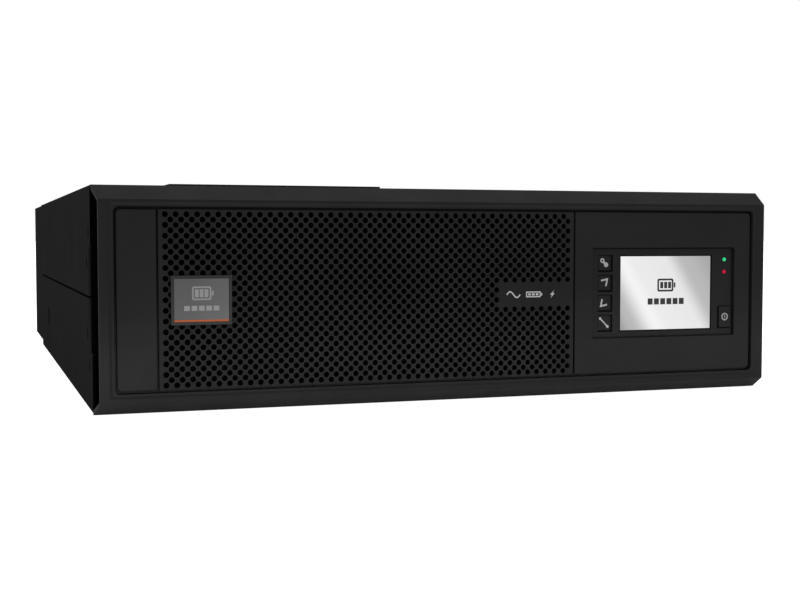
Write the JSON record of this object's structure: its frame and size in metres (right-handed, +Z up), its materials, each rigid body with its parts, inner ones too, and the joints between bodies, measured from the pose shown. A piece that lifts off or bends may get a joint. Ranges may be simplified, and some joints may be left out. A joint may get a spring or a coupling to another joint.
{
  "type": "uninterruptible power supply",
  "caption": "Black 3U rack or tower power supply module with a perforated front, a screen with keys, rear fans, a breaker and cable entries.",
  "frame": {"origin": "bottom centre of the whole part, on the surface that its feet stand on", "axes": "+X to the right seen from the front, +Y from the front to the rear, +Z up; the front faces -Y"},
  "size_m": [0.4354, 0.624, 0.1327],
  "materials": {
    "case_paint": "fine-textured satin black powder coat",
    "bezel_plastic": "fine-textured matte black moulding",
    "display_plastic": "satin black moulding",
    "screen": "clear cover over a lit silver-grey display",
    "filter_foam": "open-cell black foam",
    "badge_silver": "brushed grey plate with an orange strip",
    "lamp_green": "clear tinted light pipe",
    "lamp_red": "clear tinted light pipe",
    "foot_rubber": "matte",
    "circuit_board": "solder-masked laminate",
    "sink_aluminium": "extruded, plain",
    "winding_enamel": "enamelled copper wire",
    "capacitor_sleeve": "shrink sleeve",
    "core_steel": "varnished laminations",
    "connector_plastic": "glass-filled black moulding",
    "plated_steel": "zinc or nickel plated",
    "plug_green": "terminal plug green"
  },
  "bodies": {
    "chassis": {"base_tray": "case_paint", "top_cover": "case_paint", "rear_housing": "case_paint", "front_bulkhead": "case_paint", "top_access_plate": "case_paint", "terminal_cover": "case_paint", "card_slot_cover": "case_paint", "foot_front_left": "foot_rubber", "foot_front_right": "foot_rubber", "foot_rear_left": "foot_rubber", "foot_rear_right": "foot_rubber", "cable_grommet_1": "foot_rubber", "cable_grommet_2": "foot_rubber", "power_board": "circuit_board", "control_board": "circuit_board", "filter_board": "circuit_board", "rectifier_heatsink": "sink_aluminium", "inverter_heatsink": "sink_aluminium", "boost_choke_1": "winding_enamel", "boost_choke_2": "winding_enamel", "inverter_choke": "winding_enamel", "filter_choke": "winding_enamel", "bus_capacitor_1": "capacitor_sleeve", "bus_capacitor_2": "capacitor_sleeve", "bus_capacitor_3": "capacitor_sleeve", "bus_capacitor_4": "capacitor_sleeve", "aux_transformer": "core_steel", "static_switch_module": "connector_plastic", "fan_frame_1": "connector_plastic", "fan_frame_2": "connector_plastic", "input_breaker": "connector_plastic", "battery_connector": "connector_plastic", "terminal_block": "connector_plastic", "fan_guard_1": "plated_steel", "fan_guard_2": "plated_steel", "usb_port": "plated_steel", "parallel_port_1": "plated_steel", "parallel_port_2": "plated_steel", "ground_stud": "plated_steel", "dry_contact_block": "plug_green"},
    "bezel": {"bezel_frame": "bezel_plastic", "blank_panel": "bezel_plastic", "intake_grille": "case_paint", "control_fascia": "bezel_plastic", "dust_filter": "filter_foam", "badge_base": "bezel_plastic", "badge_plate": "badge_silver", "display_housing": "display_plastic", "lcd_module": "screen", "display_board": "circuit_board", "status_lamp": "lamp_green", "fault_lamp": "lamp_red"},
    "key_escape": {"key_escape": "display_plastic"},
    "key_up": {"key_up": "display_plastic"},
    "key_down": {"key_down": "display_plastic"},
    "key_enter": {"key_enter": "display_plastic"},
    "power_button": {"power_button": "display_plastic"},
    "fan_rotor_1": {"fan_rotor_1": "connector_plastic"},
    "fan_rotor_2": {"fan_rotor_2": "connector_plastic"},
    "breaker_lever": {"breaker_lever": "connector_plastic"}
  },
  "joints": [
    {"name": "bezel_pull", "type": "slide", "parent": "chassis", "child": "bezel", "axis": [0, -1, 0], "range_m": [0, 0.06]},
    {"name": "key_escape_press", "type": "slide", "parent": "bezel", "child": "key_escape", "axis": [0, 1, 0], "range_m": [0, 0.0008], "stiffness_N_per_m": 400},
    {"name": "key_up_press", "type": "slide", "parent": "bezel", "child": "key_up", "axis": [0, 1, 0], "range_m": [0, 0.0008], "stiffness_N_per_m": 400},
    {"name": "key_down_press", "type": "slide", "parent": "bezel", "child": "key_down", "axis": [0, 1, 0], "range_m": [0, 0.0008], "stiffness_N_per_m": 400},
    {"name": "key_enter_press", "type": "slide", "parent": "bezel", "child": "key_enter", "axis": [0, 1, 0], "range_m": [0, 0.0008], "stiffness_N_per_m": 400},
    {"name": "power_button_press", "type": "slide", "parent": "bezel", "child": "power_button", "axis": [0, 1, 0], "range_m": [0, 0.001], "stiffness_N_per_m": 400},
    {"name": "fan_spin_1", "type": "hinge", "parent": "chassis", "child": "fan_rotor_1", "pos_m": [0.165, 0.283, 0.0665], "axis": [0, 1, 0], "continuous": true},
    {"name": "fan_spin_2", "type": "hinge", "parent": "chassis", "child": "fan_rotor_2", "pos_m": [0.078, 0.283, 0.0665], "axis": [0, 1, 0], "continuous": true},
    {"name": "breaker_toggle", "type": "hinge", "parent": "chassis", "child": "breaker_lever", "pos_m": [-0.045, 0.3, 0.043], "axis": [1, 0, 0], "range_deg": [-60, 0]}
  ]
}
